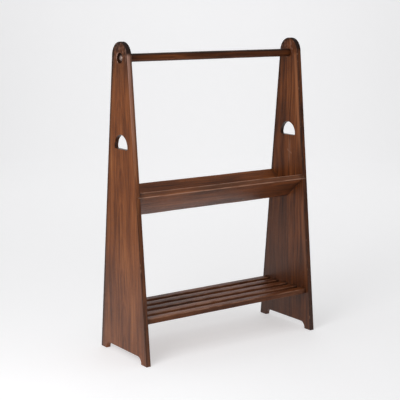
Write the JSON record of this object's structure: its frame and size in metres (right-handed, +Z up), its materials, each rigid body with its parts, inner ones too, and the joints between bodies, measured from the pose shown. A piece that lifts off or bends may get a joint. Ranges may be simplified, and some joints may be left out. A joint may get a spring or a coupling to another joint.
{
  "type": "freestanding trough rack",
  "caption": "Freestanding hardwood rack: tapered end boards with hand-holds, a round top rail, a V-shaped trough and a slatted lower shelf.",
  "frame": {"origin": "on the floor, midway between the end boards and midway between front and back feet", "axes": "+X along the top rail towards the right end board, -Y the front, +Z up"},
  "size_m": [0.688, 0.278, 1],
  "materials": {
    "end_board": "satin wax",
    "rail": "satin wax",
    "trough_board": "satin wax",
    "slat": "satin wax",
    "dowel": "raw beech",
    "screw": "dull, darkened with age"
  },
  "bodies": {
    "root": {"end_board_left": "end_board", "end_board_right": "end_board", "top_rail": "rail", "trough_front_board": "trough_board", "trough_back_board": "trough_board", "shelf_slat_1": "slat", "shelf_slat_2": "slat", "shelf_slat_3": "slat", "shelf_slat_4": "slat", "shelf_slat_5": "slat", "slat_dowels": "dowel", "rail_screws": "screw"}
  },
  "joints": []
}
